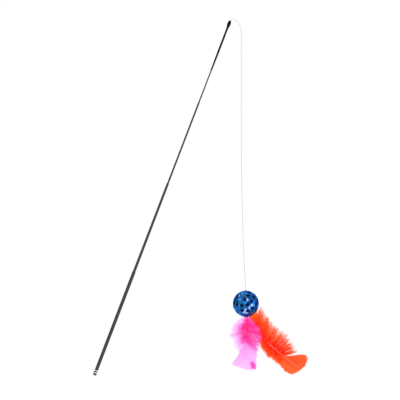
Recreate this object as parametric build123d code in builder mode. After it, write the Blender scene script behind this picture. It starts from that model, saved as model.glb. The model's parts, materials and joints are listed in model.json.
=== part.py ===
from build123d import *
import os
from math import cos, pi, radians, sin, sqrt, tan

# A telescopic cat teaser wand: a rod of four sections, a clear line, a foil ball and two feathers.
# Millimetres and degrees. The origin is on the handle's axis, in the middle of the holding hand.

# Wand, in heights along its axis from the butt's end face
LEAN = 30.0  # from upright, towards +X
GRIP_HEIGHT = 80.0
HANDLE_LENGTH = 199.6
HANDLE_R = 3.1
SECOND_SHOWN = 185.0  # length in front of the section that holds it
SECOND_HELD = 16.0  # length kept inside that section
SECOND_BASE_R = 2.62
SECOND_MOUTH_R = 2.2
THIRD_SHOWN = 175.0
THIRD_HELD = 14.0
THIRD_BASE_R = 1.76
THIRD_MOUTH_R = 1.66
ROD_SHOWN = 163.0
ROD_HELD = 12.0
ROD_BASE_R = 1.3
ROD_END_R = 1.26
SLIDE_GAP = 0.08  # radial running clearance between sections
MOUTH_ROUND = 0.45  # share of the wall that a mouth's lip is rounded by

# Butt, a plug that clamps two bright rings and a dark spacer against the handle
FLANGE = 2.8
RING = 1.5
SPACER = 2.6
SPIGOT_LENGTH = 11.6
PAD_R = 2.3
PAD_DEPTH = 0.8
CUSHION = 2.5
BUTT_EDGE = 0.35
FIT_GAP = 0.05  # between pieces that are assembled and stay put

# Tip, a shrunk boot and a bulb that hides the line's knot
BOOT_LENGTH = 92.0
BOOT_TAPER = 46.0
BOOT_END_R = 1.45
BOOT_R = 1.9
CAP_LENGTH = 19.0
CAP_R = 3.3
CAP_NECK_R = 2.0
CAP_BELLY = 7.0  # from the widest part to the end
CAP_NOSE_R = 0.95
CHAMBER_R = 1.6
CHAMBER_LENGTH = 3.4
KNOT_R = 1.2

# Line, with its route in the wand's plane as offsets from the tip's end
LINE_R = 0.4
LINE_HOLE_R = 0.55
SWING_GAP = 0.45  # between the arc and the hanging stretch
ARC_ROUTE = [
    (1.0, 1.75),
    (3.8, 3.2),
    (8.6, 3.9),
    (14.0, 3.2),
    (19.4, 0.9),
    (24.4, -2.7),
    (28.6, -7.2),
    (31.4, -12.6),
    (32.645, -18.4),
    (32.8, -22.0),
]
DROP_ROUTE = [
    (32.7, -245.0),
    (33.9, -297.0),
    (35.6, -349.0),
    (37.7, -400.0),
    (40.3, -441.0),
    (43.2, -477.0),
    (46.4, -510.5),
]
ARC_SHARE = 0.45  # share of the shorter run that an arc may take

# Ball, two snapped plastic halves under a dotted foil
BALL_R = 25.0
FOIL = 0.35
FOIL_GAP = 0.25  # air under the crumpled foil
WALL = 1.4
LIP_HEIGHT = 3.0
LIP_WALL = 1.0
LIP_ROOT = 1.5
TAIL_HOLE_R = 0.7
STOPPER_R = 2.2
KNOT_SEAT = 0.2  # room between the knot and the ball, which turns under it
DOT_COUNT = 59
DOT_R = 3.5
DOT_THICK = 0.3
DOT_GAP = 0.12
FILM_TURN = (-132.1, 101.3, 94.4)  # how the film lies on the ball, about X, Y and Z
LURE_TURN = -49.4  # how far the ball has spun on its line
BRIGHT_EVERY = 4  # one dot in so many is bright, from the second on

# Feathers, each flat in a plane of its own through its root under the ball
PLUG_R = 5.0
PLUG_RIM = 1.2
PLUG_RIM_THICK = 2.0
PLUG_PROUD = 0.6
FEATHER_GAP = 0.8
QUILL_R = 0.65
VANE_THICK = 1.0
ROOT_STAND = 2.0  # depth of each root in front of or behind the ball's axis
FEATHER_LEAN = 9.0  # each feather leans off the ball's face plane
PINK_ROOT_X = -0.6
ORANGE_ROOT_X = 2.0
PINK_RACHIS = [(0.0, -49.0), (-3.0, -94.0)]
ORANGE_RACHIS = [(47.5, -56.5), (98.6, -97.2)]
# One row for each cross-section of the down: distance along the quill, left reach, right reach, depth
PINK_DOWN = [
    (3, 6, 6, 3),
    (14, 24, 18, 5),
    (32, 28, 27, 10),
    (47, 24, 26, 10),
    (59, 11, 19, 5),
]
ORANGE_DOWN = [
    (4, 2, 6, 3),
    (16, 4, 27, 6),
    (38, 6, 27, 10),
    (58, 14, 30, 11),
    (77, 18, 31, 10),
    (94, 17, 26, 5),
]
# Each vane's outline: a straight edge at the down, a straight edge to the second point, then a curve
PINK_VANE = [
    (19, -60.3),
    (-10.5, -59.2),
    (-15, -74),
    (-26.5, -88.5),
    (-14, -91),
    (0, -97),
    (16.5, -98.5),
    (18.5, -82),
]
ORANGE_VANE = [
    (66.5, -68),
    (78.7, -75.5),
    (92.5, -73.8),
    (107, -73.4),
    (113.8, -79.7),
    (108.3, -90.6),
    (98.7, -98.5),
    (85.4, -107),
    (74.5, -103.9),
    (64.8, -91.5),
    (56, -80.8),
]

# Heights that follow from the sizes above
stack_top = FLANGE + 2 * RING + SPACER
handle_top = stack_top + HANDLE_LENGTH
second_base = handle_top - SECOND_HELD
second_top = handle_top + SECOND_SHOWN
third_base = second_top - THIRD_HELD
third_top = second_top + THIRD_SHOWN
rod_base = third_top - ROD_HELD
cap_base = third_top + ROD_SHOWN
cap_top = cap_base + CAP_LENGTH
chamber_top = cap_top - CAP_BELLY / 2
chamber_base = chamber_top - CHAMBER_LENGTH
rod_top = chamber_base - FIT_GAP

# The wand's plane has the radius along its x and the height along its y
wand_direction = Vector(sin(radians(LEAN)), 0, cos(radians(LEAN)))
butt_point = wand_direction * -GRIP_HEIGHT
WAND = Plane(origin=butt_point, x_dir=(cos(radians(LEAN)), 0, -sin(radians(LEAN))), z_dir=(0, -1, 0))
WAND_AXIS = Axis(butt_point, wand_direction)

# A cylinder that starts at its place and rises from it, or hangs from it
UPWARDS = (Align.CENTER, Align.CENTER, Align.MIN)
DOWNWARDS = (Align.CENTER, Align.CENTER, Align.MAX)

os.makedirs("parts", exist_ok=True)


def keep(piece, name):
    """Label a finished piece and write it under its name."""
    piece.part.label = name
    export_step(piece.part, f"parts/{name}.step")


def on_axis(height):
    """The point of the wand's axis at a height above the butt's face."""
    return butt_point + wand_direction * height


def tapered_r(base_r, end_r, share):
    """The radius of a tapered section at a share of its length."""
    return base_r + (end_r - base_r) * share


def turned(name, profile):
    """A piece turned about the wand's axis from corners of radius and height."""
    with BuildPart() as piece:
        with BuildSketch(WAND):
            with BuildLine():
                Polyline(*profile, close=True)
            make_face()
        revolve(axis=WAND_AXIS)
    keep(piece, name)


def section_tube(name, base, top, outer, inner, held):
    """A tube of even wall that closes in towards its rounded mouth, where it holds the next section.

    outer holds its own radius at the base and at the mouth, inner the next section's there.
    """
    bore_r = inner[0] + SLIDE_GAP
    mouth_bore_r = inner[1] + SLIDE_GAP
    wall = tapered_r(outer[0], outer[1], 1 - held / (top - base)) - bore_r
    with BuildPart() as tube:
        with BuildSketch(WAND):
            with BuildLine():
                Polyline(
                    (outer[0] - wall, base),
                    (outer[0], base),
                    (outer[1], top),
                    (mouth_bore_r, top),
                    (bore_r, top - held),
                    close=True,
                )
            make_face()
        revolve(axis=WAND_AXIS)
        lip = tube.edges().group_by(WAND_AXIS)[-1].sort_by(SortBy.RADIUS)[-1]
        fillet(lip, MOUTH_ROUND * (outer[1] - mouth_bore_r))
    keep(tube, name)


# Sections of the wand
second_at_mouth = tapered_r(SECOND_BASE_R, SECOND_MOUTH_R, SECOND_HELD / (SECOND_HELD + SECOND_SHOWN))
third_at_mouth = tapered_r(THIRD_BASE_R, THIRD_MOUTH_R, THIRD_HELD / (THIRD_HELD + THIRD_SHOWN))
rod_at_mouth = tapered_r(ROD_BASE_R, ROD_END_R, ROD_HELD / (rod_top - rod_base))

handle_rs = (HANDLE_R, HANDLE_R)
second_rs = (SECOND_BASE_R, SECOND_MOUTH_R)
third_rs = (THIRD_BASE_R, THIRD_MOUTH_R)
section_tube("handle_tube", stack_top, handle_top, handle_rs, (SECOND_BASE_R, second_at_mouth), SECOND_HELD)
section_tube("second_tube", second_base, second_top, second_rs, (THIRD_BASE_R, third_at_mouth), THIRD_HELD)
section_tube("third_tube", third_base, third_top, third_rs, (ROD_BASE_R, rod_at_mouth), ROD_HELD)
turned("tip_rod", [(0, rod_base), (ROD_BASE_R, rod_base), (ROD_END_R, rod_top), (0, rod_top)])

# Butt
spigot_r = SECOND_BASE_R + SLIDE_GAP - FIT_GAP
spigot_top = stack_top + SPIGOT_LENGTH
with BuildPart() as butt_plug:
    with BuildSketch(WAND):
        with BuildLine():
            Polyline(
                (0, PAD_DEPTH),
                (PAD_R + FIT_GAP, PAD_DEPTH),
                (PAD_R + FIT_GAP, 0),
                (HANDLE_R, 0),
                (HANDLE_R, FLANGE),
                (spigot_r, FLANGE),
                (spigot_r, spigot_top),
                (0, spigot_top),
                close=True,
            )
        make_face()
    revolve(axis=WAND_AXIS)
    rim = butt_plug.edges().group_by(WAND_AXIS)[0].sort_by(SortBy.RADIUS)[-1]
    fillet(rim, BUTT_EDGE)
keep(butt_plug, "butt_plug")


def butt_washer(name, base, thick):
    """A ring of the clamped stack, round the plug's spigot."""
    hole_r = spigot_r + FIT_GAP
    turned(name, [(hole_r, base), (HANDLE_R, base), (HANDLE_R, base + thick), (hole_r, base + thick)])


butt_washer("butt_ring_lower", FLANGE, RING)
butt_washer("butt_spacer", FLANGE + RING, SPACER)
butt_washer("butt_ring_upper", FLANGE + RING + SPACER, RING)
turned("butt_pad", [(0, 0), (PAD_R, 0), (PAD_R, PAD_DEPTH), (0, PAD_DEPTH)])
cushion_top = spigot_top + CUSHION
turned("butt_cushion", [(0, spigot_top), (spigot_r, spigot_top), (spigot_r, cushion_top), (0, cushion_top)])

# Tip
boot_base = cap_base - BOOT_LENGTH
rod_length = rod_top - rod_base
boot_bore_r = FIT_GAP + tapered_r(ROD_BASE_R, ROD_END_R, (boot_base - rod_base) / rod_length)
turned(
    "tip_boot",
    [
        (boot_bore_r, boot_base),
        (BOOT_END_R, boot_base),
        (BOOT_R, boot_base + BOOT_TAPER),
        (BOOT_R, cap_base),
        (boot_bore_r, cap_base),
    ],
)

belly = cap_top - CAP_BELLY
quarter_turn = 90
shoulder = cap_base + (belly - cap_base) / 2
with BuildPart() as tip_cap:
    with BuildSketch(WAND):
        with BuildLine():
            Polyline((boot_bore_r, cap_base), (CAP_NECK_R, cap_base))
            Bezier((CAP_NECK_R, cap_base), (CAP_NECK_R, shoulder), (CAP_R, shoulder), (CAP_R, belly))
            EllipticalCenterArc((CAP_NOSE_R, belly), CAP_R - CAP_NOSE_R, CAP_BELLY, arc_size=quarter_turn)
            Polyline(
                (CAP_NOSE_R, cap_top),
                (LINE_HOLE_R, cap_top),
                (LINE_HOLE_R, chamber_top),
                (CHAMBER_R, chamber_top),
                (CHAMBER_R, chamber_base),
                (boot_bore_r, chamber_base),
                (boot_bore_r, cap_base),
            )
        make_face()
    revolve(axis=WAND_AXIS)
keep(tip_cap, "tip_cap")

knot_height = chamber_top - KNOT_R - FIT_GAP
with BuildPart() as tip_knot:
    with Locations(on_axis(knot_height)):
        Sphere(KNOT_R)
keep(tip_knot, "tip_knot")


def line_tube(name, points):
    """A stretch of the line: straight runs joined by the largest arcs that they allow."""
    runs = [(end - start).length for start, end in zip(points, points[1:])]
    radii = []
    for i in range(1, len(points) - 1):
        turn = radians((points[i] - points[i - 1]).get_angle(points[i + 1] - points[i]))
        radii.append(ARC_SHARE * min(runs[i - 1], runs[i]) / tan(turn / 2))
    with BuildPart() as tube:
        with BuildLine(Plane.XZ) as path:
            FilletPolyline(*[(p.X, p.Z) for p in points], radius=radii)
        route = path.wire()
        with BuildSketch(Plane(route ^ 0)):
            Circle(LINE_R)
        sweep(path=route)
    keep(tube, name)
    fullness = tube.part.volume / (pi * LINE_R**2 * route.length)
    print(name, "arc radii", [round(r, 1) for r in radii])
    print(name, "length", round(route.length, 2), "volume over section times length", round(fullness, 5))


# Line
tip_end = on_axis(cap_top)
line_start = on_axis(knot_height + KNOT_R)
arc_points = [line_start] + [tip_end + Vector(x, 0, z) for x, z in ARC_ROUTE]
line_tube("line_arc", arc_points)

arc_way = (arc_points[-1] - arc_points[-2]).normalized()
drop_start = arc_points[-1] + arc_way * SWING_GAP
knot_point = tip_end + Vector(DROP_ROUTE[-1][0], 0, DROP_ROUTE[-1][1])
drop_points = [drop_start] + [tip_end + Vector(x, 0, z) for x, z in DROP_ROUTE[:-1]]
last_way = (knot_point - drop_points[-1]).normalized()
drop_points.append(knot_point - last_way * (KNOT_R + SWING_GAP / 2))
line_tube("line_drop", drop_points)

with BuildPart() as ball_knot:
    with Locations(knot_point):
        Sphere(KNOT_R)
keep(ball_knot, "ball_knot")

# Ball, with its x to the right as the feathers are seen and its z up
lure_right = Vector(1, 0, 0).rotate(Axis.Z, LURE_TURN)
lure_front = Vector(0, -1, 0).rotate(Axis.Z, LURE_TURN)
ball_centre = knot_point - Vector(0, 0, KNOT_R + KNOT_SEAT + BALL_R)
BALL = Plane(origin=ball_centre, x_dir=lure_right, z_dir=(0, 0, 1))
BALL_FACE = Plane(origin=ball_centre, x_dir=lure_right, z_dir=lure_front)
BALL_AXIS = Axis(ball_centre, (0, 0, 1))

shell_r = BALL_R - FOIL - FOIL_GAP
hollow_r = shell_r - WALL
lip_r = sqrt(hollow_r**2 - LIP_HEIGHT**2) - FIT_GAP
plug_hole_r = PLUG_R + FIT_GAP

with BuildPart() as ball_upper_half:
    with Locations(ball_centre):
        Sphere(shell_r)
        Sphere(hollow_r, mode=Mode.SUBTRACT)
        Cylinder(TAIL_HOLE_R, BALL_R, align=UPWARDS, mode=Mode.SUBTRACT)
    split(bisect_by=BALL, keep=Keep.TOP)
keep(ball_upper_half, "ball_upper_half")

with BuildPart() as ball_lower_half:
    with Locations(ball_centre):
        Sphere(shell_r)
        Sphere(hollow_r, mode=Mode.SUBTRACT)
        Cylinder(plug_hole_r, BALL_R, align=DOWNWARDS, mode=Mode.SUBTRACT)
    split(bisect_by=BALL, keep=Keep.BOTTOM)
    with BuildSketch(BALL_FACE):
        with BuildLine():
            root_depth = LIP_HEIGHT + LIP_ROOT
            Polyline(
                (lip_r - LIP_WALL, LIP_HEIGHT),
                (lip_r, LIP_HEIGHT),
                (lip_r, -LIP_HEIGHT),
                (sqrt(hollow_r**2 - root_depth**2) + WALL / 2, -root_depth),
                (lip_r - LIP_WALL, -root_depth),
                close=True,
            )
        make_face()
    revolve(axis=BALL_AXIS)
keep(ball_lower_half, "ball_lower_half")


def dot_planes(numbers, seat):
    """Planes on the ball for the dots of an even golden-angle spread, clear of the ball's two holes."""
    golden_angle = 180 * (3 - sqrt(5))
    planes = []
    for i in numbers:
        height = 1 - (2 * i + 1) / DOT_COUNT
        outward = Vector(sqrt(1 - height**2), 0, height).rotate(Axis.Z, i * golden_angle)
        outward = outward.rotate(Axis.X, FILM_TURN[0]).rotate(Axis.Y, FILM_TURN[1])
        outward = outward.rotate(Axis.Z, FILM_TURN[2] + LURE_TURN)
        off_axis = BALL_R * sqrt(1 - outward.Z**2)
        if off_axis > plug_hole_r + DOT_R + DOT_GAP:
            planes.append(Plane(origin=ball_centre + outward * seat, z_dir=outward))
    return planes


with BuildPart() as foil_skin:
    with Locations(ball_centre):
        Sphere(BALL_R)
        Sphere(BALL_R - FOIL, mode=Mode.SUBTRACT)
        Cylinder(TAIL_HOLE_R, 2 * BALL_R, align=UPWARDS, mode=Mode.SUBTRACT)
        Cylinder(plug_hole_r, 2 * BALL_R, align=DOWNWARDS, mode=Mode.SUBTRACT)
    with Locations(*dot_planes(range(DOT_COUNT), BALL_R)):
        Cylinder(DOT_R + DOT_GAP, DOT_R, mode=Mode.SUBTRACT)
keep(foil_skin, "foil_skin")


def foil_dots(name, numbers):
    """A group of flat mirror dots, each lying on the ball in its window of the foil."""
    with BuildPart() as dots:
        with Locations(*dot_planes(numbers, shell_r + FIT_GAP)):
            Cylinder(DOT_R, DOT_THICK, align=UPWARDS)
    keep(dots, name)


bright_numbers = range(1, DOT_COUNT, BRIGHT_EVERY)
foil_dots("dark_dots", [i for i in range(DOT_COUNT) if i not in bright_numbers])
foil_dots("bright_dots", bright_numbers)

stopper_top = sqrt(hollow_r**2 - STOPPER_R**2) - FIT_GAP
with BuildPart() as line_stopper:
    with Locations(ball_centre + Vector(0, 0, stopper_top)):
        Cylinder(STOPPER_R, STOPPER_R, align=DOWNWARDS)
        Cylinder(LINE_R + FIT_GAP, 2 * STOPPER_R, mode=Mode.SUBTRACT)
keep(line_stopper, "line_stopper")

stopper_base = stopper_top - STOPPER_R
with BuildPart() as line_tail:
    with Locations(ball_centre + Vector(0, 0, stopper_base)):
        Cylinder(LINE_R, BALL_R - stopper_base, align=UPWARDS)
keep(line_tail, "line_tail")

plug_face = BALL_R + PLUG_PROUD
rim_r = PLUG_R + PLUG_RIM
rim_seat = sqrt(hollow_r**2 - rim_r**2) - FIT_GAP
with BuildPart() as feather_plug:
    with BuildSketch(BALL_FACE):
        with BuildLine():
            Polyline(
                (0, -plug_face),
                (PLUG_R, -plug_face),
                (PLUG_R, -rim_seat),
                (rim_r, -rim_seat),
                (rim_r, PLUG_RIM_THICK - rim_seat),
                (0, PLUG_RIM_THICK - rim_seat),
                close=True,
            )
        make_face()
    revolve(axis=BALL_AXIS)
    fillet(feather_plug.edges().group_by(BALL_AXIS)[0], PLUG_PROUD)
keep(feather_plug, "feather_plug")


def feather(colour, root_x, front, rachis_points, down_rows, vane_points):
    """A feather's quill, down and flat vane; front is 1 before the ball's axis and -1 behind it."""
    root = ball_centre + lure_right * root_x + lure_front * (front * ROOT_STAND)
    root = root - Vector(0, 0, plug_face + FEATHER_GAP)
    facing = lure_front.rotate(Axis((0, 0, 0), lure_right), -front * FEATHER_LEAN)
    face = Plane(origin=root, x_dir=lure_right, z_dir=facing)
    bow, tip = rachis_points

    with BuildPart() as quill:
        with BuildLine(face) as shaft_line:
            ThreePointArc((0, 0), bow, tip)
        rachis = shaft_line.edge()
        with BuildSketch(Plane(rachis ^ 0)):
            Circle(QUILL_R)
        sweep(path=rachis)
    keep(quill, f"{colour}_quill")

    with BuildPart() as down:
        for along, left, right, deep in down_rows:
            share = along / rachis.length
            way = rachis.tangent_at(share)
            with BuildSketch(Plane(rachis.position_at(share), x_dir=way.cross(facing) * -1, z_dir=way)):
                with Locations(((right - left) / 2, 0)):
                    Ellipse((left + right) / 2, deep / 2)
        loft()
        with BuildSketch(Plane(rachis ^ 0)):
            Circle(QUILL_R + FIT_GAP)
        sweep(path=rachis, mode=Mode.SUBTRACT)
    keep(down, f"{colour}_down")

    with BuildPart() as vane:
        with BuildSketch(face):
            with BuildLine():
                Polyline(vane_points[-1], *vane_points[:2])
                Spline(*vane_points[1:])
            make_face()
        extrude(amount=VANE_THICK / 2, both=True)
        with BuildSketch(Plane(rachis ^ 0)):
            Circle(QUILL_R + FIT_GAP)
        sweep(path=rachis, mode=Mode.SUBTRACT)
    keep(vane, f"{colour}_vane")


feather("pink", PINK_ROOT_X, 1, PINK_RACHIS, PINK_DOWN, PINK_VANE)
feather("orange", ORANGE_ROOT_X, -1, ORANGE_RACHIS, ORANGE_DOWN, ORANGE_VANE)
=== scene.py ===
import json
from math import cos, pi, radians, sin, sqrt

import bpy
from mathutils import Matrix, Vector


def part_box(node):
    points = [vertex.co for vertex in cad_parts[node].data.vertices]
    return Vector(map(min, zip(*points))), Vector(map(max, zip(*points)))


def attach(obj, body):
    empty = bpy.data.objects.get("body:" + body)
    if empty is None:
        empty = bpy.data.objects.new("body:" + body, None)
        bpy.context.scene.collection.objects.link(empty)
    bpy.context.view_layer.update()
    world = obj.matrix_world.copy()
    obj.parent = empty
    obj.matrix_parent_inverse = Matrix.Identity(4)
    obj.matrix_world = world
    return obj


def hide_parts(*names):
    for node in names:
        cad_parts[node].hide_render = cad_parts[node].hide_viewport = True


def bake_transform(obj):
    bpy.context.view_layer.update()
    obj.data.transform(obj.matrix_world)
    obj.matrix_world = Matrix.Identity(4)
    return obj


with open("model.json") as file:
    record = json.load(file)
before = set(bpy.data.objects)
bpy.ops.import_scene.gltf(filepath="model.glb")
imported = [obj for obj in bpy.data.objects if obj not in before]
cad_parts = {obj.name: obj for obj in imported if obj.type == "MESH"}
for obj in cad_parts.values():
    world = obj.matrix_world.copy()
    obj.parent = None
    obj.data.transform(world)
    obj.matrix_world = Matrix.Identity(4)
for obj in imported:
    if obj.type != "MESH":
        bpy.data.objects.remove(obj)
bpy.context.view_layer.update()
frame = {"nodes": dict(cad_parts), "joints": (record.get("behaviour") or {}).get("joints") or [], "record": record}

# A telescopic cat teaser wand: dark lacquered sections, a clear line, a dotted foil ball and two feathers.
# Metres, in the frame of the solids. Small sizes are written in millimetres.
MM = 0.001
pieces = frame["nodes"]
joints = {joint["name"]: joint for joint in frame["joints"]}

# Places that the frame gives
wand_up = -Vector(frame["record"]["mounts"][0]["axis"])
knot_point = Vector(joints["ball_tilt"]["pos_m"])
lure_right = Vector(joints["ball_tilt"]["axis"])
lure_front = lure_right.cross(Vector((0, 0, 1)))
pink_root = Vector(joints["pink_flex"]["pos_m"])
orange_root = Vector(joints["orange_flex"]["pos_m"])
ball_centre = Vector((knot_point.x, knot_point.y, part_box("ball_upper_half")[0][2]))


# Node trees

class Field:
    """A value in a node tree. A formula of fields adds the nodes that work it out."""

    def __init__(self, socket):
        self.socket = socket

    def math(self, operation, *others):
        """This value and others through a Math node, or a Vector Math node where one is a vector."""
        values = (self, *others)
        vector = any(is_vector(value) for value in values)
        node = self.socket.id_data.nodes.new("ShaderNodeVectorMath" if vector else "ShaderNodeMath")
        node.operation = operation
        for socket, value in zip(node.inputs, values):
            put(socket, (value,) * 3 if vector and isinstance(value, (int, float)) else value)
        return Field(next(socket for socket in node.outputs if socket.enabled))

    def __add__(self, other):
        return self.math("ADD", other)

    def __sub__(self, other):
        return self.math("SUBTRACT", other)

    def __mul__(self, other):
        return self.math("MULTIPLY", other)

    def __radd__(self, other):
        return self + other

    def __rmul__(self, other):
        return self * other

    def __rsub__(self, other):
        return self * -1.0 + other

    def __truediv__(self, other):
        return self.math("DIVIDE", other)

    def __mod__(self, other):
        return self.math("FLOORED_MODULO", other)

    def axis(self, number):
        """The x, y or z of a vector."""
        node = self.socket.id_data.nodes.new("ShaderNodeSeparateXYZ")
        put(node.inputs[0], self)
        return Field(node.outputs[number])


def is_vector(value):
    """True for a vector, as a field or as numbers."""
    if isinstance(value, Field):
        return value.socket.type == "VECTOR"
    return isinstance(value, tuple)


def put(socket, value):
    """Give a node's input a constant, or link it to another node's output."""
    if isinstance(value, Field):
        socket.id_data.links.new(value.socket, socket)
    else:
        socket.default_value = value


def add(tree, kind, *values, pick=None, **settings):
    """Add a node with its settings and inputs in order. Returns its first output, or the one named."""
    node = tree.nodes.new(kind)
    for name, value in settings.items():
        setattr(node, name, value)
    for socket, value in zip([socket for socket in node.inputs if socket.enabled], values):
        if value is not None:
            put(socket, value)
    return Field(node.outputs[pick] if pick else next(socket for socket in node.outputs if socket.enabled))


def between(low, high, share):
    """The value at a share of the way from low to high."""
    return low + (high - low) * share


def vector_of(tree, x, y, z):
    """A vector from three values."""
    return add(tree, "ShaderNodeCombineXYZ", x, y, z)


def chance(tree, low, high, number, seed):
    """A random value that belongs to a number."""
    return add(tree, "FunctionNodeRandomValue", low, high, number, seed, data_type="FLOAT")


def chance_way(tree, reach, number, seed):
    """A random vector that belongs to a number, up to reach either way on each axis."""
    return vector_of(tree, *(chance(tree, -reach, reach, number, seed + axis) for axis in range(3)))


NOISE_SCALE = 5.0  # swells of the first octave to a unit of place


def noise(tree, place, gain, step, octaves=15.0):
    """Very soft values round 0.5. Each octave is gain times as strong as the last and step times as fine."""
    return add(tree, "ShaderNodeTexNoise", place, NOISE_SCALE, octaves, gain, step)


SOCKET_KINDS = {float: "NodeSocketFloat", int: "NodeSocketInt", tuple: "NodeSocketVector"}


def grown(name, build, sizes, source, material, body, replaced):
    """A piece made by a geometry node tree with named sizes, as a plain mesh that rides on a body."""
    tree = bpy.data.node_groups.new(name, "GeometryNodeTree")
    tree.interface.new_socket("Source", in_out="INPUT", socket_type="NodeSocketGeometry")
    tree.interface.new_socket("Piece", in_out="OUTPUT", socket_type="NodeSocketGeometry")
    keys = {}
    for label, value in sizes.items():
        socket = tree.interface.new_socket(label, in_out="INPUT", socket_type=SOCKET_KINDS[type(value)])
        keys[label] = socket.identifier
    start = tree.nodes.new("NodeGroupInput")
    values = {socket.name: Field(socket) for socket in start.outputs if socket.name}
    shape = build(tree, values)
    shape = add(tree, "GeometryNodeRealizeInstances", shape)
    shape = add(tree, "GeometryNodeSetMaterial", shape, None, material)
    put(tree.nodes.new("NodeGroupOutput").inputs["Piece"], shape)

    host = bpy.data.objects.new(name + "_source", source)
    bpy.context.scene.collection.objects.link(host)
    modifier = host.modifiers.new("shape", "NODES")
    modifier.node_group = tree
    for label, value in sizes.items():
        modifier[keys[label]] = value
    evaluated = host.evaluated_get(bpy.context.evaluated_depsgraph_get())
    mesh = bpy.data.meshes.new_from_object(evaluated)
    host.modifiers.remove(modifier)
    bpy.data.objects.remove(host)
    return finished(name, mesh, body, replaced)


def finished(name, mesh, body, replaced):
    """A piece of the object: its mesh, the body that it rides on and the solids that it stands for."""
    piece = bpy.data.objects.new(name, mesh)
    bpy.context.scene.collection.objects.link(piece)
    if body:
        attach(piece, body)
    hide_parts(*replaced)
    return piece


# Materials

def colour(red, green, painted_reflection_blue):
    """A colour as it looks on a screen, from 0 to 255, as nodes take it."""
    return tuple((value / 255 / 12.92 if value < 11 else ((value / 255 + 0.055) / 1.055) ** 2.4)
                 for value in (red, green, painted_reflection_blue)) + (1.0,)


BLACK = (0.0, 0.0, 0.0, 1.0)
WHITE = (1.0, 1.0, 1.0, 1.0)
TAPE_PITCH = 4.2 * MM  # of the tape that wound the wand's sections
STREAKS = (1400.0, 1400.0, 14.0)  # stretch of their pattern, across and along the wand


def finish(name, **constants):
    """A new material with one Principled shader. Returns the material, its tree and the shader."""
    material = bpy.data.materials.new(name)
    material.use_nodes = True
    tree = material.node_tree
    shader = tree.nodes["Principled BSDF"]
    for label, value in constants.items():
        shader.inputs[label.replace("_", " ")].default_value = value
    return material, tree, shader


def ramp(tree, factor, stops):
    """A colour ramp of (place, colour) stops."""
    result = add(tree, "ShaderNodeValToRGB", factor)
    elements = result.socket.node.color_ramp.elements
    while len(elements) < len(stops):
        elements.new(1.0)
    for element, (place, shade) in zip(elements, stops):
        element.position = place
        element.color = shade
    return result


def mixed(tree, factor, low, high, blend="MIX"):
    """Two colours mixed by a factor."""
    return add(tree, "ShaderNodeMix", factor, low, high, data_type="RGBA", blend_type=blend)


def bump(tree, shader, height, strength, distance):
    """Relief on a shader's surface from a height."""
    relief = add(tree, "ShaderNodeBump", strength, distance, None, height)
    put(shader.inputs["Normal"], relief)


def along_wand(tree):
    """Object coordinates turned so that their z runs up the wand."""
    place = add(tree, "ShaderNodeTexCoord", pick="Object")
    turn = wand_up.rotation_difference(Vector((0, 0, 1))).to_euler()
    return add(tree, "ShaderNodeMapping", place, None, tuple(turn))


def lacquer():
    """Dark lacquer over wound glass fibre: fine lengthwise streaks and the winding tape's faint bands."""
    material, tree, shader = finish("section_lacquer", Specular_IOR_Level=0.18)
    place = along_wand(tree)
    streak_place = add(tree, "ShaderNodeMapping", place, None, None, STREAKS)
    streaks = noise(tree, streak_place, 4.0, 0.6, 1.0)
    clouds = noise(tree, place, 3.0, 0.55)
    dark = mixed(tree, streaks, colour(34, 33, 35), colour(72, 70, 72))
    put(shader.inputs["Base Color"], mixed(tree, clouds * 0.5, dark, colour(50, 48, 50)))
    put(shader.inputs["Roughness"], clouds * 0.22 + 0.24)
    height = place.axis(2) * (2 * pi / TAPE_PITCH)
    around = place.axis(1).math("ARCTAN2", place.axis(0))
    bands = (height + around).math("SINE")
    bump(tree, shader, bands * 0.5 + streaks * 0.5, 0.25, 0.05 * MM)
    return material


def moulded(name, shade, rough, shine=0.3):
    """Moulded plastic or rubber, almost even in shade and gloss."""
    material, tree, shader = finish(name, Specular_IOR_Level=shine)
    place = add(tree, "ShaderNodeTexCoord", pick="Object")
    dulled = noise(tree, place, 3.0, 0.6)
    clouds = noise(tree, place, 2.0, 0.5)
    darker = tuple(value * 0.72 for value in shade[:3]) + (1.0,)
    put(shader.inputs["Base Color"], mixed(tree, clouds, darker, shade))
    put(shader.inputs["Roughness"], dulled * 0.2 + (rough - 0.1))
    bump(tree, shader, dulled, 0.3, 0.04 * MM)
    return material


def turned_metal():
    """Polished ring metal, almost even."""
    material, tree, shader = finish("ring_metal", Metallic=1.0)
    place = along_wand(tree)
    dulled = noise(tree, vector_of(tree, 0.0, 0.0, place.axis(2)), 2.0, 0.7)
    wear = noise(tree, place, 3.0, 0.6)
    put(shader.inputs["Base Color"], mixed(tree, wear, colour(184, 184, 187), colour(232, 232, 234)))
    put(shader.inputs["Roughness"], dulled * 0.16 + 0.2)
    bump(tree, shader, dulled, 0.2, 0.02 * MM)
    return material


def nylon():
    """Clear whitish line, coloured an almost even pale grey as painted shade."""
    material, tree, shader = finish("clear_line", Roughness=0.25, Transmission_Weight=0.25, IOR=1.45)
    place = add(tree, "ShaderNodeTexCoord", pick="Object")
    clouds = noise(tree, place, 2.0, 0.5)
    # Painted shade: the grey stands in for the shade on the whitish line
    put(shader.inputs["Base Color"], mixed(tree, clouds, colour(178, 178, 182), colour(206, 205, 208)))
    bump(tree, shader, clouds, 0.1, 0.05 * MM)
    return material


def ball_place(tree):
    """Directions from the ball's middle: x to its right, y to its back, z up, of length 1 at its surface."""
    place = add(tree, "ShaderNodeTexCoord", pick="Object")
    away = place - tuple(ball_centre)
    turn = lure_right.rotation_difference(Vector((1, 0, 0))).to_euler()
    return add(tree, "ShaderNodeMapping", away / BALL_R, None, tuple(turn))


def foil_cells(tree, way, scale):
    """The foil's facets as irregular cells round the ball: the way that each one faces and a random value, which
    the foil's material paints as reflection and highlight.
    """
    cell = tree.nodes.new("ShaderNodeTexVoronoi")
    put(cell.inputs["Vector"], way)
    put(cell.inputs["Scale"], scale)
    return Field(cell.outputs["Position"]).math("NORMALIZE"), Field(cell.outputs["Color"]).axis(0)


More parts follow.
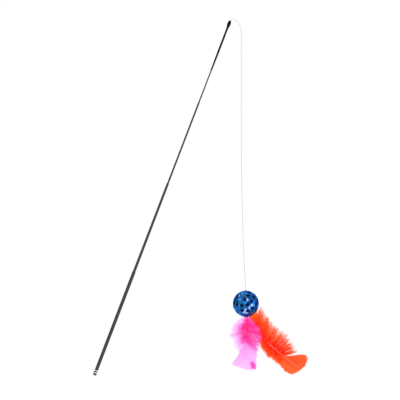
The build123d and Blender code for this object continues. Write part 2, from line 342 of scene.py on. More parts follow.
def attribute(tree, name):
    """A value that the piece's mesh holds."""
    return add(tree, "ShaderNodeAttribute", attribute_name=name, pick="Fac")


def foil():
    """Faceted metallic foil whose hue is its own and whose shades are painted reflections: from slate and teal to
    royal across the ball, each facet lighter or darker, and pale painted highlights on a few.
    """
    material, tree, shader = finish("blue_foil", Metallic=0.9, Specular_Tint=colour(80, 156, 226))
    place = ball_place(tree)
    way = (add(tree, "ShaderNodeTexCoord", pick="Object") - tuple(ball_centre)).math("NORMALIZE")
    facing, facet = foil_cells(tree, way, FACET_SCALE)
    # Facets nearest the GLINTS places take the top value, which paints them as highlights
    for right, up in GLINTS:
        glint = lure_right * right + Vector((0, 0, up)) + lure_front * sqrt(1 - right * right - up * up)
        near = facing.math("DOT_PRODUCT", tuple(glint)).math("GREATER_THAN", GLINT_NEAR)
        facet = facet.math("MAXIMUM", near)
    # Painted reflections: teal on the left to royal on the right, pale at the bottom and slate at the top, for the
    # surroundings that the foil mirrors
    across = ramp(tree, place.axis(0) * 0.5 + 0.5, [
        (0.08, colour(20, 104, 170)),
        (0.35, colour(44, 112, 146)),
        (0.6, colour(30, 110, 190)),
        (0.9, colour(16, 108, 214)),
    ])
    upright = ramp(tree, place.axis(2) * 0.5 + 0.5, [
        (0.06, colour(70, 152, 228)),
        (0.3, colour(40, 124, 214)),
        (0.6, colour(34, 104, 168)),
        (0.94, colour(56, 104, 150)),
    ])
    painted_reflection_blue = mixed(tree, 0.5, across, upright)
    # Painted reflections of single facets: each one darker or lighter, as if it mirrored another part of the room
    painted_facet_reflections = mixed(tree, 0.75, painted_reflection_blue, ramp(tree, facet, [
        (0.0, colour(70, 70, 84)),
        (0.45, colour(170, 172, 180)),
        (0.86, colour(255, 255, 255)),
        (1.0, colour(255, 255, 255)),
    ]), "MULTIPLY")
    # Painted highlights: facets with the highest values are painted pale
    glints = ramp(tree, facet, [(0.91, BLACK), (0.94, WHITE)])
    put(shader.inputs["Base Color"], mixed(tree, glints, painted_facet_reflections, colour(150, 190, 255)))
    crumple = noise(tree, place, 5.0, 0.6, 9.0)
    put(shader.inputs["Roughness"], crumple * 0.3 + 0.12)
    bump(tree, shader, crumple, 0.5, 0.5 * MM)
    return material


def mirror_dot(name, low, high):
    """Smooth mirror film in painted reflection, between a low and a high colour, a little different on each dot.
    """
    material, tree, shader = finish(name, Metallic=0.9, Specular_Tint=colour(60, 120, 220))
    each = attribute(tree, "facet")
    place = ball_place(tree)
    smears = noise(tree, place, 3.0, 0.6, 14.0)
    # Painted reflection: each dot's own share between the two colours, a little smeared
    put(shader.inputs["Base Color"], mixed(tree, each * 0.7 + smears * 0.3, low, high))
    put(shader.inputs["Roughness"], smears * 0.2 + 0.1)
    return material


def plumage(name, stops, glow):
    """Barbs in fluorescent dye, deep at the quill and paler towards their ends, each lock a little different;
    their glow is painted light against their shade.
    """
    material, tree, shader = finish(name, Roughness=0.7, Specular_IOR_Level=0.1, Sheen_Weight=0.1)
    place = add(tree, "ShaderNodeTexCoord", pick="Object")
    patches = noise(tree, place, 2.0, 0.5)
    dye = ramp(tree, attribute(tree, "pale") + patches * 0.4 - 0.2, stops)
    put(shader.inputs["Base Color"], dye)
    # Painted light: the barbs glow in their own colour, so the shade among them is lifted
    put(shader.inputs["Emission Color"], dye)
    put(shader.inputs["Emission Strength"], glow)
    return material


def horn(name, low, high):
    """Dyed quill: smooth horn, almost even in shade."""
    material, tree, shader = finish(name, Roughness=0.4)
    place = add(tree, "ShaderNodeTexCoord", pick="Object")
    patches = noise(tree, place, 3.0, 0.6)
    put(shader.inputs["Base Color"], mixed(tree, patches, low, high))
    bump(tree, shader, patches, 0.2, 0.05 * MM)
    return material


# Camera and stage

CAMERA_PLACE = (-3.0899, -2.8625, 0.2409)
CAMERA_TURN = -49.377
CAMERA_LENS = 212.22
CAMERA_REACH = 50.0
SURROUND_LIGHT = 0.72  # what it throws on the object
SURROUND_SEEN = 1.0
FLOOR = -0.35
FLOOR_REACH = 30.0
FLOOR_SHADE = (0.8, 0.8, 0.8, 1.0)  # for the light that it throws back
FLOOR_SEEN_SHADE = (0.2, 0.2, 0.2, 1.0)
FLOOR_GLOW = 0.86  # with that shade the seen floor is just white
LAMP_AIM = Vector((0.2, 0.0, 0.22))
LAMPS = [  # place, width and power of each
    ("key", (-2.4, -2.2, 1.4), 2.0, 36.0),
    ("fill", (1.0, -2.5, 0.5), 1.8, 14.0),
    ("top", (0.3, 0.4, 2.6), 1.8, 16.0),
    ("rear", (1.9, 2.1, 1.2), 1.8, 16.0),
]


def make_camera():
    """A long lens at the photograph's angle, level with the middle of the object."""
    data = bpy.data.cameras.new("camera")
    data.lens = CAMERA_LENS
    data.clip_end = CAMERA_REACH
    camera = bpy.data.objects.new("camera", data)
    camera.location = CAMERA_PLACE
    camera.rotation_euler = (radians(90), 0.0, radians(CAMERA_TURN))
    bpy.context.scene.collection.objects.link(camera)
    bpy.context.scene.camera = camera


def seen_directly(tree):
    """1 for what the camera, a mirror or clear material shows, 0 for the light that falls on a surface."""
    path = tree.nodes.new("ShaderNodeLightPath")
    seen = Field(path.outputs["Is Camera Ray"])
    for label in ("Is Glossy Ray", "Is Transmission Ray"):
        seen = seen.math("MAXIMUM", Field(path.outputs[label]))
    return seen


def make_stage():
    """A white surround, a pale floor that keeps a soft shadow, and soft lamps."""
    world = bpy.data.worlds.new("surround")
    bpy.context.scene.world = world
    world.use_nodes = True
    tree = world.node_tree
    light = between(SURROUND_LIGHT, SURROUND_SEEN, seen_directly(tree))
    put(tree.nodes["Background"].inputs["Color"], WHITE)
    put(tree.nodes["Background"].inputs["Strength"], light)

    mesh = bpy.data.meshes.new("floor")
    signs = ((-1, -1), (1, -1), (1, 1), (-1, 1))
    corners = [(x * FLOOR_REACH, y * FLOOR_REACH, FLOOR) for x, y in signs]
    mesh.from_pydata(corners, [], [(0, 1, 2, 3)])
    floor = bpy.data.objects.new("floor", mesh)
    bpy.context.scene.collection.objects.link(floor)
    material, tree, shader = finish("pale_floor", Roughness=1.0, Specular_IOR_Level=0.0)
    seen = seen_directly(tree)
    put(shader.inputs["Base Color"], mixed(tree, seen, FLOOR_SHADE, FLOOR_SEEN_SHADE))
    put(shader.inputs["Emission Color"], WHITE)
    put(shader.inputs["Emission Strength"], seen * FLOOR_GLOW)
    below = add(tree, "ShaderNodeNewGeometry", pick="Backfacing")
    clear = add(tree, "ShaderNodeBsdfTransparent")
    one_sided = add(tree, "ShaderNodeMixShader", below, Field(shader.outputs[0]), clear)
    put(tree.nodes["Material Output"].inputs["Surface"], one_sided)
    mesh.materials.append(material)

    for name, place, width, power in LAMPS:
        data = bpy.data.lights.new(name, "AREA")
        data.size = width
        data.energy = power
        lamp = bpy.data.objects.new(name, data)
        lamp.location = place
        lamp.rotation_euler = (LAMP_AIM - Vector(place)).to_track_quat("-Z", "Y").to_euler()
        bpy.context.scene.collection.objects.link(lamp)
    bpy.context.scene.view_settings.view_transform = "Standard"


# Line

LINE_R = 0.4 * MM
TIP_END = 670.0 * MM  # from the grip's point along the wand
KNOT_TOP = 3.55 * MM  # the line starts so far inside the tip
# Routes are in millimetres from the tip's end, in the wand's plane: x outward, z up
ARC_ROUTE = [
    (1.0, 1.75),
    (3.8, 3.2),
    (8.6, 3.9),
    (14.0, 3.2),
    (19.4, 0.9),
    (24.4, -2.7),
    (28.6, -7.2),
    (31.4, -12.6),
    (32.645, -18.4),
    (32.8, -22.0),
]
DROP_ROUTE = [
    (32.8, -25.6),
    (32.72, -193.0),
    (32.7, -245.0),
    (33.9, -297.0),
    (35.6, -349.0),
    (37.7, -400.0),
    (40.3, -441.0),
    (43.2, -477.0),
    (46.26, -509.08),
]
KNOT_TURNS = 3.0
KNOT_WRAP_R = 0.8 * MM
KNOT_HEIGHT = 1.13 * MM
KNOT_STAND = 1.3 * MM  # of the standing line above and below the knot's middle
KNOT_STEPS = 16  # to a turn
KNOT_SIDES = 8


def wrapped_knot(tree, values):
    """The line's turns round itself in a barrel knot, one above the other, and the standing line in them."""
    wrap_r = values["Wrap radius"]
    turns = add(tree, "GeometryNodeCurveSpiral", KNOT_STEPS, values["Turns"], wrap_r, wrap_r,
                values["Height"])
    turns = add(tree, "GeometryNodeTransform", turns, vector_of(tree, 0.0, 0.0, values["Height"] * -0.5))
    standing = add(tree, "GeometryNodeCurvePrimitiveLine", vector_of(tree, 0.0, 0.0, values["Stand"] * -1.0),
                   vector_of(tree, 0.0, 0.0, values["Stand"]))
    joined = tree.nodes.new("GeometryNodeJoinGeometry")
    put(joined.inputs[0], turns)
    put(joined.inputs[0], standing)
    section = add(tree, "GeometryNodeCurvePrimitiveCircle", KNOT_SIDES, values["Line radius"])
    knot = add(tree, "GeometryNodeCurveToMesh", Field(joined.outputs[0]), section, 1.0, True)
    knot = add(tree, "GeometryNodeSetShadeSmooth", knot, None, True)
    return add(tree, "GeometryNodeTransform", knot, values["Place"])


def make_line():
    """The line on one smooth curve, over the tip and down to the ball."""
    tip_end = wand_up * TIP_END
    route = [wand_up * (TIP_END - KNOT_TOP)]
    route += [tip_end + Vector((x * MM, 0.0, z * MM)) for x, z in ARC_ROUTE + DROP_ROUTE]
    data = bpy.data.curves.new("line", "CURVE")
    data.dimensions = "3D"
    data.resolution_u = 24
    spline = data.splines.new("NURBS")
    spline.points.add(len(route) - 1)
    for point, place in zip(spline.points, route):
        point.co = (*place, 1.0)
    spline.order_u = 3
    spline.use_endpoint_u = True
    curve = bpy.data.objects.new("line_route", data)
    bpy.context.scene.collection.objects.link(curve)
    path = [tuple(vertex.co) for vertex in bpy.data.meshes.new_from_object(curve).vertices]
    data.bevel_depth = LINE_R
    data.bevel_resolution = 3
    data.use_fill_caps = True
    bpy.context.view_layer.update()
    mesh = bpy.data.meshes.new_from_object(curve)
    bpy.data.objects.remove(curve)
    mesh.materials.append(nylon_finish)
    mesh.shade_smooth()
    line = finished("line", mesh, None, ["line_arc", "line_drop"])
    sizes = {"Turns": KNOT_TURNS, "Wrap radius": KNOT_WRAP_R, "Height": KNOT_HEIGHT, "Stand": KNOT_STAND,
             "Line radius": LINE_R, "Place": tuple(knot_point)}
    empty = bpy.data.meshes.new("knot_source")
    knot = grown("ball_knot_turns", wrapped_knot, sizes, empty, nylon_finish,
                 "knot", ["ball_knot"])
    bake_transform(line)


# Ball

BALL_R = 25.0 * MM
DOT_COUNT = 59
DOT_R = 3.5 * MM
DOT_SEAT = 24.45 * MM  # from the ball's middle to a dot's back
DOT_SUNK = 0.05 * MM  # the foil lies so far under a dot's back
DOT_THICK = 0.3 * MM
DOT_TOP = 0.86  # radius of a dot's front, in radii of its back
DOT_RIM = 1.12  # where the foil is back in its own shape, in a dot's radii
DOT_SIDES = 28
DOT_TILT = 0.05  # of a dot from the ball's round, at random
FILM_TURN = (-132.1, 101.3, 94.4)  # of the whole spread, in degrees
CLEAR_R = 8.67 * MM  # no dot within this of the ball's upright axis
# One dot in this many is painted as a bright reflection, the rest as dark ones
BRIGHT_EVERY = 4
FACET_SCALE = 5.4
FACET_DIP = 0.985  # from the ball's middle to a facet, in radii
FACET_ROUND = 0.35  # share of the way back from a facet to the sphere
CRUMPLE = 0.5 * MM
# Painted highlights: places of two facets painted pale as if they caught a lamp, and how near a facet must be to
# them
GLINTS = [(-0.07, -0.4), (-0.085, -0.7)]  # right and up from the ball's middle, in radii
GLINT_NEAR = 0.987  # cosine of a glinting facet's angle from its place


def dot_spread(tree, values):
    """Points for the dots of an even golden-angle spread round the ball's middle, each with its number."""
    points = add(tree, "GeometryNodePoints", values["Dots"])
    number = add(tree, "GeometryNodeInputIndex")
    height = (number * 2.0 + 1.0) / values["Dots"] * -1.0 + 1.0
    round_r = (height * height * -1.0 + 1.0).math("SQRT")
    angle = number * (pi * (3 - sqrt(5)))
    place = vector_of(tree, round_r * angle.math("COSINE"), round_r * angle.math("SINE"), height)
    place = add(tree, "ShaderNodeVectorRotate", place, None, values["Film turn"], rotation_type="EULER_XYZ")
    points = add(tree, "GeometryNodeStoreNamedAttribute", points, None, "number", number, data_type="INT")
    points = add(tree, "GeometryNodeSetPosition", points, None, place * values["Seat"])
    off_axis = add(tree, "GeometryNodeInputPosition") * (1.0, 1.0, 0.0)
    near = values["Clear"] - off_axis.math("LENGTH")
    return add(tree, "GeometryNodeDeleteGeometry", points, near.math("GREATER_THAN", 0.0), domain="POINT")


def foil_shape(tree, values):
    """A sphere pulled flat in irregular facets, pressed flat under each dot and very slightly uneven."""
    sphere = add(tree, "GeometryNodeMeshIcoSphere", values["Radius"], 6)
    dots = dot_spread(tree, values)
    way = add(tree, "GeometryNodeInputPosition").math("NORMALIZE")
    facing = foil_cells(tree, way, values["Facets"])[0]
    flat = values["Radius"] * values["Facet dip"] / way.math("DOT_PRODUCT", facing)
    crumple = noise(tree, way, 4.0, 0.6, 8.0) - 0.5
    pulled = between(flat.math("MINIMUM", values["Radius"]), values["Radius"], FACET_ROUND)
    away = pulled + crumple * values["Crumple"]

    nearest = add(tree, "GeometryNodeSampleNearest", dots, way * values["Radius"], domain="POINT")
    dot_place = add(tree, "GeometryNodeInputPosition")
    dot_way = add(tree, "GeometryNodeSampleIndex", dots, dot_place, nearest, data_type="FLOAT_VECTOR",
                  domain="POINT").math("NORMALIZE")
    seat = values["Seat"] / way.math("DOT_PRODUCT", dot_way) - values["Sunk"]
    off = (way - dot_way).math("LENGTH") * values["Radius"]
    rim = values["Dot radius"] * DOT_RIM
    beyond = add(tree, "ShaderNodeMapRange", off, values["Dot radius"], rim, 0.0, 1.0)
    place = way * between(seat, away, beyond) + tuple(ball_centre)
    return add(tree, "GeometryNodeSetPosition", sphere, None, place)


def dots_shape(tree, values):
    """Shallow bevelled discs on the ball's spread, either those painted as bright reflections or those painted as
    dark ones.
    """
    points = dot_spread(tree, values)
    number = add(tree, "GeometryNodeInputNamedAttribute", "number", data_type="INT")
    is_bright = (number % values["Bright every"]).math("COMPARE", 1.0, 0.1)
    unwanted = (is_bright - values["Bright"]).math("ABSOLUTE").math("GREATER_THAN", 0.5)
    points = add(tree, "GeometryNodeDeleteGeometry", points, unwanted, domain="POINT")
    dot_r = values["Dot radius"]
    disc = add(tree, "GeometryNodeMeshCone", DOT_SIDES, 1, 1, dot_r * DOT_TOP, dot_r, values["Dot thick"])
    outward = add(tree, "GeometryNodeInputPosition").math("NORMALIZE")
    tilt = chance_way(tree, DOT_TILT, number, 3)
    turn = add(tree, "FunctionNodeAlignRotationToVector", None, None, outward + tilt, axis="Z")
    discs = add(tree, "GeometryNodeInstanceOnPoints", points, None, disc, None, None, turn)
    # Each dot's share between its two painted reflection colours
    shade = chance(tree, 0.0, 1.0, number, 6)
    discs = add(tree, "GeometryNodeStoreNamedAttribute", discs, None, "facet", shade, data_type="FLOAT",
                domain="INSTANCE")
    discs = add(tree, "GeometryNodeRealizeInstances", discs)
    return add(tree, "GeometryNodeTransform", discs, tuple(ball_centre))


def make_ball():
    """The foil and its two sets of dots."""
    turn = tuple(radians(angle) for angle in FILM_TURN[:2])
    lure_turn = Vector((1, 0)).angle_signed(lure_right.xy) * -1
    spread = {
        "Dots": DOT_COUNT,
        "Film turn": turn + (radians(FILM_TURN[2]) + lure_turn,),
        "Seat": DOT_SEAT,
        "Clear": CLEAR_R,
        "Dot radius": DOT_R,
    }
    foil_sizes = spread | {
        "Radius": BALL_R,
        "Facets": FACET_SCALE,
        "Facet dip": FACET_DIP,
        "Crumple": CRUMPLE,
        "Sunk": DOT_SUNK,
    }
    empty = bpy.data.meshes.new("ball_source")
    grown("foil_skin_crumpled", foil_shape, foil_sizes, empty, foil(), "ball", ["foil_skin"])
    # Both sets are one mirror film: dark navy and bright azure are painted reflections, of dark and of light
    # surroundings
    kinds = [
        ("dark", 0.0, "dark_mirror", colour(4, 6, 22), colour(12, 22, 70)),
        ("bright", 1.0, "azure_mirror", colour(30, 110, 214), colour(70, 170, 250)),
    ]
    for kind, bright, slot, low, high in kinds:
        sizes = spread | {"Dot thick": DOT_THICK, "Bright every": BRIGHT_EVERY, "Bright": bright}
        film = mirror_dot(slot, low, high)
        grown(f"{kind}_dot_discs", dots_shape, sizes, empty, film, "ball", [f"{kind}_dots"])


# Feathers. Outlines are in each feather's own plane, in millimetres from its root: x right, y up

FEATHER_LEAN = 9.0
QUILL_R = 0.65 * MM
QUILL_STEPS = 60
QUILL_SIDES = 10
QUILL_THINNING = 0.4  # share of its radius that a quill loses towards its tip
# Painted glow of the down and the vane, lightening the shade among their barbs
DOWN_GLOW = 0.2
VANE_GLOW = 0.05
# Ranks run from 0 at a feather's first barb to 1 at its last
SINKING = (0.6, 0.74)  # between these ranks the roots of barbs move to the back
LOW_RANK = 0.5  # lower barbs have a shade of their own
TOP_RANK = 0.3  # and so do higher ones
CURL_FIRST = (0.5, 0.56)  # the curl of a vane's corner sets in between these ranks
CURL_LAST = (0.69, 0.74)  # and fades between these
CURL_BEND = (0.55, 0.8)  # shares of a barb's length where it curls
# Painted shade of a vane's fold: a curled end is coloured this much deeper
CURL_PAINTED_SHADE = 2.5  # how much deeper in colour a curled end is
LEFT_FADE = (0.15, 0.75)  # shares of a left barb's length where it grows paler
LONGEST_BARB = 1.08
LONGEST_LOCK = 1.06
LOCK_DEPTH = 0.6  # of a feather's depth
BARB_DEPTH = 0.55
RIGHT_LOCKS = 500.0  # the number of the right side's first lock
VANE_END = 16.0  # the higher, the later a vane's barb narrows
BARBULE_LEAN = 0.9  # towards the end of its barb
BARBULE_TAPER = 0.7
SHORTEST_BARBULE = 0.5
BARBULE_SHARES = (0.75, 1.05)  # of its full length, at the start and the end of a barb
PINK_LINES = {
    "rachis": [(0, 0.8), (0.4, -24), (0, -49), (-1.2, -72), (-3, -94)],
    "down_left": [(-4, -1), (-13, -7), (-26, -14), (-29.5, -34), (-22.3, -51.7), (-12, -70)],
    "down_right": [(6, 1.2), (16.8, -10), (27, -26), (29, -39), (27.3, -52), (20, -69)],
    "vane_left": [(-9, -60), (-14.7, -76), (-24, -85.5), (-26.3, -90), (-13.3, -93), (0, -98)],
    "vane_right": [(20.4, -60), (19.5, -75), (19, -88), (18.4, -98.4), (6.3, -99), (-4, -97.5)],
}
ORANGE_LINES = {
    "rachis": [(0, 0.8), (21, -31), (47.5, -57), (74, -79), (98.6, -97.6)],
    "down_left": [(2, -4), (9.4, -21), (17, -38), (25, -51),
                  (32.3, -67), (42, -78), (53, -84.5), (62.5, -92)],
    "down_right": [(9.4, 11), (26, 18), (34, 8), (46, -10),
                   (61, -22), (76.5, -37), (88, -56), (97, -67)],
    "vane_left": [(56, -79), (60, -87), (66, -95.5), (74, -104.5),
                  (80, -109), (88, -110.6), (97, -107.6), (103.4, -102.6)],
    "vane_right": [(78.7, -76.8), (92, -75), (104, -73.8), (111, -75.5),
                   (115, -80.5), (114.6, -88), (110.4, -95.6), (103.4, -102.6)],
}
RACHIS, DOWN_EDGES, VANE_EDGES = 0, 1, 3  # places of the lines in a feather's curve


def feather_lines(name, lines):
    """A feather's rachis and outlines as one curve of several splines, in its own plane."""
    data = bpy.data.curves.new(name, "CURVE")
    data.dimensions = "3D"
    data.resolution_u = 16
    for line, points in lines.items():
        spline = data.splines.new("NURBS" if line == "rachis" else "POLY")
        spline.points.add(len(points) - 1)
        for point, (x, y) in zip(spline.points, points):
            point.co = (x * MM, y * MM, 0.0, 1.0)
        if line == "rachis":
            spline.order_u = 3
            spline.use_endpoint_u = True
    return data


def sampled(tree, lines, share, line, pick="Position"):
    """The place on one of a feather's lines at a share of its length, or its Tangent."""
    node = tree.nodes.new("GeometryNodeSampleCurve")
    put(node.inputs["Curves"], lines)
    put(node.inputs["Factor"], share)
    put(node.inputs["Curve Index"], line)
    return Field(node.outputs[pick])


def barb_rank(values, barb):
    """A barb's side, 0 left or 1 right, and its rank from 0 at the first barb to 1 at the last."""
    return barb % 2.0, ((barb / 2.0).math("FLOOR") + 0.5) / (values["Barbs"] / 2.0)


def barb_line(tree, values, barb, u):
    """Place and direction on a barb, by its number and the share u of its length, and its lock's shade.

    Odd barbs go to the right. Each runs from the rachis to its outline in a bow, and gathers with its
    neighbours into a lock.
    """
    side, rank = barb_rank(values, barb)
    own_lock = (rank * values["Locks"] + side * 0.5).math("FLOOR")
    lock = own_lock + side * RIGHT_LOCKS
    lock_middle = (own_lock + 0.5 - side * 0.5) / values["Locks"]
    seed = values["Seed"]
    stray = chance(tree, -1.0, 1.0, barb, seed) * values["Stray"]
    end_share = between(rank, lock_middle, values["Gather"]) + stray
    end_share = end_share.math("MAXIMUM", 0.0).math("POWER", values["Crowd"])
    base_share = between(values["First"], values["Last"], rank)
    scatter = chance_way(tree, 1.0, barb, seed + 7.0)
    sunk = add(tree, "ShaderNodeMapRange", rank, *SINKING, 0.0, values["Sunk"])
    base = sampled(tree, values["Source"], base_share, RACHIS) + scatter * values["Scatter"]
    base = base - vector_of(tree, 0.0, 0.0, sunk)
    tangent = sampled(tree, values["Source"], base_share, RACHIS, pick="Tangent")
    edge = sampled(tree, values["Source"], end_share, side + values["Edges"])
    length = chance(tree, values["Shortest"], LONGEST_BARB, barb, seed + 1.0)
    length = length * chance(tree, values["Ragged"], LONGEST_LOCK, lock, seed + 2.0)
    deep = chance(tree, -LOCK_DEPTH, LOCK_DEPTH, lock, seed + 3.0)
    deep = deep + chance(tree, -BARB_DEPTH, BARB_DEPTH, barb, seed + 4.0)
    span = (edge - base) * length
    reach = span.math("LENGTH")
    lift = vector_of(tree, 0.0, 0.0, deep * values["Depth"].math("MINIMUM", reach * 0.5))
    end = base + span + lift
    bend = base + span * 0.5 + lift * values["Rise"] - tangent * (reach * values["Bow"])
    phase = chance(tree, 0.0, 2 * pi, barb, seed + 5.0)
    wave = phase + u * values["Waves"]
    sway = vector_of(tree, wave.math("SINE"), (wave * 1.3).math("COSINE"), (wave * 0.8).math("SINE"))
    v = 1.0 - u
    place = base * (v * v) + bend * (u * v * 2.0) + end * (u * u) + sway * (u * values["Curl"])
    direction = ((bend - base) * v + (end - bend) * u).math("NORMALIZE")
    return place, direction, chance(tree, 0.0, 1.0, lock, seed + 6.0)


def strips(tree, count, points):
    """Flat strips, as a grid with every other row of faces out.

    Returns the mesh, a strip's number, the share of its length and its edge's side, -1 or 1.
    """
    rows = count * 2.0
    grid = add(tree, "GeometryNodeMeshGrid", 1.0, rows - 1.0, points, rows)
    place = add(tree, "GeometryNodeInputPosition")
    row = place.axis(1) + (rows - 1.0) * 0.5
    between_strips = (row.math("FLOOR") % 2.0).math("GREATER_THAN", 0.5)
    grid = add(tree, "GeometryNodeDeleteGeometry", grid, between_strips, domain="FACE")
    whole = (row + 0.25).math("FLOOR")
    return grid, (whole / 2.0).math("FLOOR"), place.axis(0) + 0.5, whole % 2.0 * 2.0 - 1.0


def shaded(tree, shape, values, barb, u, lock):
    """Store how pale each point of a barb is: more so outwards, on the left, at the root and at the tip."""
    side, rank = barb_rank(values, barb)
    left = 1.0 - side
    leftward = left * add(tree, "ShaderNodeMapRange", u, *LEFT_FADE, 0.0, 1.0)
    pale = u * values["Pale ends"] + leftward * values["Pale left"]
    pale = pale + lock * values["Pale locks"] + values["Pale"]
    low = (rank - LOW_RANK).math("MAXIMUM", 0.0) * values["Pale low"]
    top = between(values["Pale top right"], values["Pale top left"], left)
    high = (TOP_RANK - rank).math("MAXIMUM", 0.0) * top
    return add(tree, "GeometryNodeStoreNamedAttribute", shape, None, "pale", pale + low + high,
               data_type="FLOAT", domain="POINT")


def barbs_shape(tree, values):
    """A feather's barbs as tapered strips, and their barbules as finer strips all round each."""
    grid, barb, u, edge = strips(tree, values["Barbs"], values["Steps"])
    place, direction, lock = barb_line(tree, values, barb, u)
    facing = vector_of(tree, chance(tree, -1.0, 1.0, barb, 41) * values["Twist"],
                       chance(tree, -1.0, 1.0, barb, 42) * values["Twist"] + values["Shingle"], 1.0)
    across = direction.math("CROSS_PRODUCT", facing).math("NORMALIZE")
    width = values["Width"] * (1.0 - u * values["Taper"])
    place = place + across * (edge * width * 0.5)
    barbs = shaded(tree, grid, values, barb, u, lock)
    shape = add(tree, "GeometryNodeSetPosition", barbs, None, place)

    fluff, barbule, v, fluff_edge = strips(tree, values["Barbs"] * values["Barbules"], 2)
    own_barb = (barbule / values["Barbules"]).math("FLOOR")
    along = ((barbule % values["Barbules"]) + 0.5) / values["Barbules"]
    root, way, lock = barb_line(tree, values, own_barb, along)
    spread = chance_way(tree, 1.0, barbule, 43)
    out = (way * BARBULE_LEAN + spread).math("NORMALIZE")
    fine = values["Barbule"] * chance(tree, SHORTEST_BARBULE, 1.0, barbule, 46)
    fine = fine * between(*BARBULE_SHARES, along)
    fluff_across = out.math("CROSS_PRODUCT", spread.math("CROSS_PRODUCT", way)).math("NORMALIZE")
    fluff_width = values["Barbule width"] * (1.0 - v * BARBULE_TAPER)
    fluff_place = root + out * (fine * v) + fluff_across * (fluff_edge * fluff_width * 0.5)
    fluff = shaded(tree, fluff, values, own_barb, along, lock)
    fluff = add(tree, "GeometryNodeSetPosition", fluff, None, fluff_place)

    joined = tree.nodes.new("GeometryNodeJoinGeometry")
    put(joined.inputs[0], shape)
    put(joined.inputs[0], fluff)
    return placed(tree, Field(joined.outputs[0]), values)


def vane_shape(tree, values):
    """A feather's vane: flat barbs that lie on each other like shingles, cambered across the vane.

    Each narrows at its very end. Some right barbs near the tip may curl to the front at their ends, where
    they are painted deeper, as the fold's shade.
    """
    grid, barb, u, edge = strips(tree, values["Barbs"], values["Steps"])
    side, rank = barb_rank(values, barb)
    curled = add(tree, "ShaderNodeMapRange", rank * side, *CURL_FIRST, 0.0, values["Curled"])
    curled = curled * add(tree, "ShaderNodeMapRange", rank, *CURL_LAST, 1.0, 0.0)
    curled = curled * add(tree, "ShaderNodeMapRange", u, *CURL_BEND, 0.0, 1.0)
    place, direction, lock = barb_line(tree, values, barb, u)
    facing = vector_of(tree, 0.0, values["Shingle"], 1.0)
    across = direction.math("CROSS_PRODUCT", facing).math("NORMALIZE")
    width = values["Width"] * (1.0 - u.math("POWER", VANE_END) * values["Taper"])
    raised = u * u * values["Camber"] + curled * values["Curl rise"]
    place = place + across * (edge * width * 0.5) + vector_of(tree, 0.0, 0.0, raised)
    # Curled ends are painted deeper, as the fold's shade
    shape = shaded(tree, grid, values, barb, u - curled * CURL_PAINTED_SHADE, lock)
    shape = add(tree, "GeometryNodeSetPosition", shape, None, place)
    return placed(tree, shape, values)


def quill_shape(tree, values):
    """A feather's quill: a tube along its rachis that thins towards the tip."""
    outlines = add(tree, "GeometryNodeInputIndex").math("GREATER_THAN", 0.5)
    rachis = add(tree, "GeometryNodeDeleteGeometry", values["Source"], outlines, domain="CURVE")
    rachis = add(tree, "GeometryNodeResampleCurve", rachis, None, QUILL_STEPS)
    share = add(tree, "GeometryNodeSplineParameter")
    rachis = add(tree, "GeometryNodeSetCurveRadius", rachis, None, 1.0 - share * QUILL_THINNING)
    section = add(tree, "GeometryNodeCurvePrimitiveCircle", QUILL_SIDES, values["Quill radius"])
    scale = add(tree, "GeometryNodeInputRadius")
    tube = add(tree, "GeometryNodeCurveToMesh", rachis, section, scale, True)
    tube = add(tree, "GeometryNodeSetShadeSmooth", tube, None, True)
    return placed(tree, tube, values)


def placed(tree, shape, values):
    """A feather's part moved from its own plane to its root on the ball."""
    turn = add(tree, "FunctionNodeEulerToRotation", values["Turn"])
    return add(tree, "GeometryNodeTransform", shape, values["Root"], turn)


def make_feather(name, root, front, lines, down, vane, horn_shades):
    """One feather's quill, down and vane. front is 1 before the ball's axis and -1 behind it."""
    lean = radians(FEATHER_LEAN) * front
    facing = lure_front * cos(lean) + Vector((0, 0, 1)) * sin(lean)
    upright = facing.cross(lure_right)
    turn = Matrix((lure_right, upright, facing)).transposed().to_euler()
    seat = {"Root": tuple(root), "Turn": tuple(turn)}
    source = feather_lines(name, lines)
    body = f"{name}_feather"
    quill = f"{name}_quill"
    quill_sizes = seat | {"Quill radius": QUILL_R}
    quill_horn = horn(f"{name}_horn", *horn_shades)
    grown(f"{name}_quill_horn", quill_shape, quill_sizes, source, quill_horn, body, [quill])
    parts = [("down", barbs_shape, *down, DOWN_GLOW), ("vane", vane_shape, *vane, VANE_GLOW)]
    for part, shape, sizes, stops, glow in parts:
        dyed = plumage(f"{name}_dyed_{part}", stops, glow)
        grown(f"{name}_{part}_barbs", shape, seat | sizes, source, dyed, body, [f"{name}_{part}"])


DOWN = {
    "Steps": 9,
    "Edges": float(DOWN_EDGES),
    "First": 0.01,
    "Stray": 0.012,
    "Crowd": 1.0,
    "Shortest": 0.74,
    "Ragged": 0.86,
    "Bow": -0.1,
    "Scatter": 1.1 * MM,
    "Rise": 0.9,
    "Waves": 5.0,
    "Curl": 1.8 * MM,
    "Width": 0.3 * MM,
    "Taper": 0.7,
    "Twist": 1.0,
    "Shingle": 0.0,
    "Barbule": 2.6 * MM,
    "Barbule width": 0.15 * MM,
}
VANE = {
    "Steps": 10,
    "Edges": float(VANE_EDGES),
    "Gather": 0.03,
    "Stray": 0.004,
    "Crowd": 1.0,
    "Shortest": 1.02,
    "Ragged": 0.98,
    "Depth": 0.3 * MM,
    "Bow": 0.16,
    "Scatter": 0.05 * MM,
    "Rise": 0.3,
    "Waves": 2.0,
    "Curl": 0.15 * MM,
    "Width": 0.95 * MM,
    "Taper": 0.75,
    "Shingle": 0.3,
    "Curled": 0.0,
    "Curl rise": 2.5 * MM,
    "Sunk": 0.0,
    "Pale": 0.25,
    "Pale ends": 0.5,
    "Pale left": 0.0,
    "Pale locks": 0.15,
    "Pale low": 0.0,
    "Pale top left": 0.0,
    "Pale top right": 0.0,
}
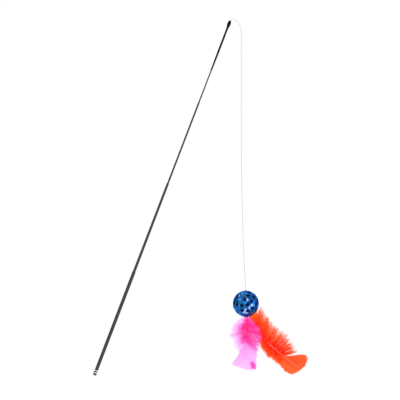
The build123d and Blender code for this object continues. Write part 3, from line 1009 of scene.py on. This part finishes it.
PINK_DOWN = DOWN | {
    "Barbs": 800,
    "Barbules": 96,
    "Locks": 22.0,
    "Last": 0.5,
    "Gather": 0.78,
    "Bow": -0.14,
    "Sunk": 0.0,
    "Depth": 9.0 * MM,
    "Seed": 10.0,
    "Pale": 0.0,
    "Pale ends": 0.26,
    "Pale left": 0.55,
    "Pale locks": 0.3,
    "Pale low": 0.55,
    "Pale top left": 1.6,
    "Pale top right": 0.5,
}
PINK_VANE = VANE | {
    "Barbs": 260,
    "Locks": 12.0,
    "First": 0.35,
    "Last": 0.82,
    "Bow": -0.06,
    "Camber": 3.0 * MM,
    "Curled": 1.0,
    "Seed": 30.0,
    "Pale top left": -1.6,
    "Pale top right": -1.6,
}
PINK_STOPS = [
    (0.0, colour(255, 26, 132)),
    (0.3, colour(255, 56, 168)),
    (0.6, colour(255, 124, 214)),
    (1.0, colour(254, 206, 246)),
]
PINK_VANE_STOPS = [
    (0.0, colour(246, 92, 194)),
    (0.25, colour(253, 150, 234)),
    (0.5, colour(253, 180, 245)),
    (1.0, colour(254, 200, 250)),
]
ORANGE_DOWN = DOWN | {
    "Barbs": 1600,
    "Barbules": 52,
    "Crowd": 1.25,
    "Width": 0.4 * MM,
    "Taper": 0.85,
    "Barbule width": 0.3 * MM,
    "Locks": 26.0,
    "First": 0.03,
    "Last": 0.74,
    "Gather": 0.3,
    "Shortest": 0.62,
    "Ragged": 0.9,
    "Waves": 3.5,
    "Curl": 1.1 * MM,
    "Sunk": 4.2 * MM,
    "Depth": 9.0 * MM,
    "Seed": 50.0,
    "Pale": -0.03,
    "Pale ends": 0.6,
    "Pale left": 0.0,
    "Pale locks": 0.22,
    "Pale low": 0.0,
    "Pale top left": 0.0,
    "Pale top right": 1.0,
}
ORANGE_VANE = VANE | {
    "Barbs": 340,
    "Locks": 14.0,
    "First": 0.74,
    "Last": 0.985,
    "Camber": -2.0 * MM,
    "Seed": 70.0,
    "Pale left": 0.35,
}
ORANGE_STOPS = [
    (0.0, colour(255, 24, 2)),
    (0.3, colour(255, 58, 4)),
    (0.6, colour(255, 96, 8)),
    (1.0, colour(255, 150, 60)),
]
ORANGE_VANE_STOPS = [
    (0.0, colour(240, 66, 14)),
    (0.5, colour(252, 88, 40)),
    (1.0, colour(254, 104, 52)),
]


def make_feathers():
    """The pink feather in front and the orange one behind it."""
    make_feather("pink", pink_root, 1, PINK_LINES, (PINK_DOWN, PINK_STOPS), (PINK_VANE, PINK_VANE_STOPS),
                 (colour(250, 140, 228), colour(253, 176, 240)))
    make_feather("orange", orange_root, -1, ORANGE_LINES, (ORANGE_DOWN, ORANGE_STOPS),
                 (ORANGE_VANE, ORANGE_VANE_STOPS), (colour(253, 130, 84), colour(255, 172, 134)))


# Making, with the camera and the line first
nylon_finish = nylon()
make_camera()
make_stage()
make_line()

# The wand's own solids keep their shape and take their finish here
FINISHES = {
    lacquer(): ["handle_tube", "second_tube", "third_tube", "tip_rod"],
    moulded("black_sleeve", colour(14, 13, 14), 0.55, 0.04): ["tip_boot", "tip_cap"],
    moulded("black_plastic", colour(26, 26, 28), 0.45, 0.15): ["butt_plug", "butt_spacer", "line_stopper"],
    moulded("grey_rubber", colour(196, 196, 198), 0.6): ["butt_pad", "butt_cushion"],
    moulded("ball_plastic", colour(20, 34, 92), 0.4): ["ball_upper_half", "ball_lower_half", "feather_plug"],
    turned_metal(): ["butt_ring_lower", "butt_ring_upper"],
    nylon_finish: ["tip_knot", "line_tail"],
}
for material, names in FINISHES.items():
    for name in names:
        for slot in pieces[name].material_slots:
            slot.material = material
make_ball()
make_feathers()
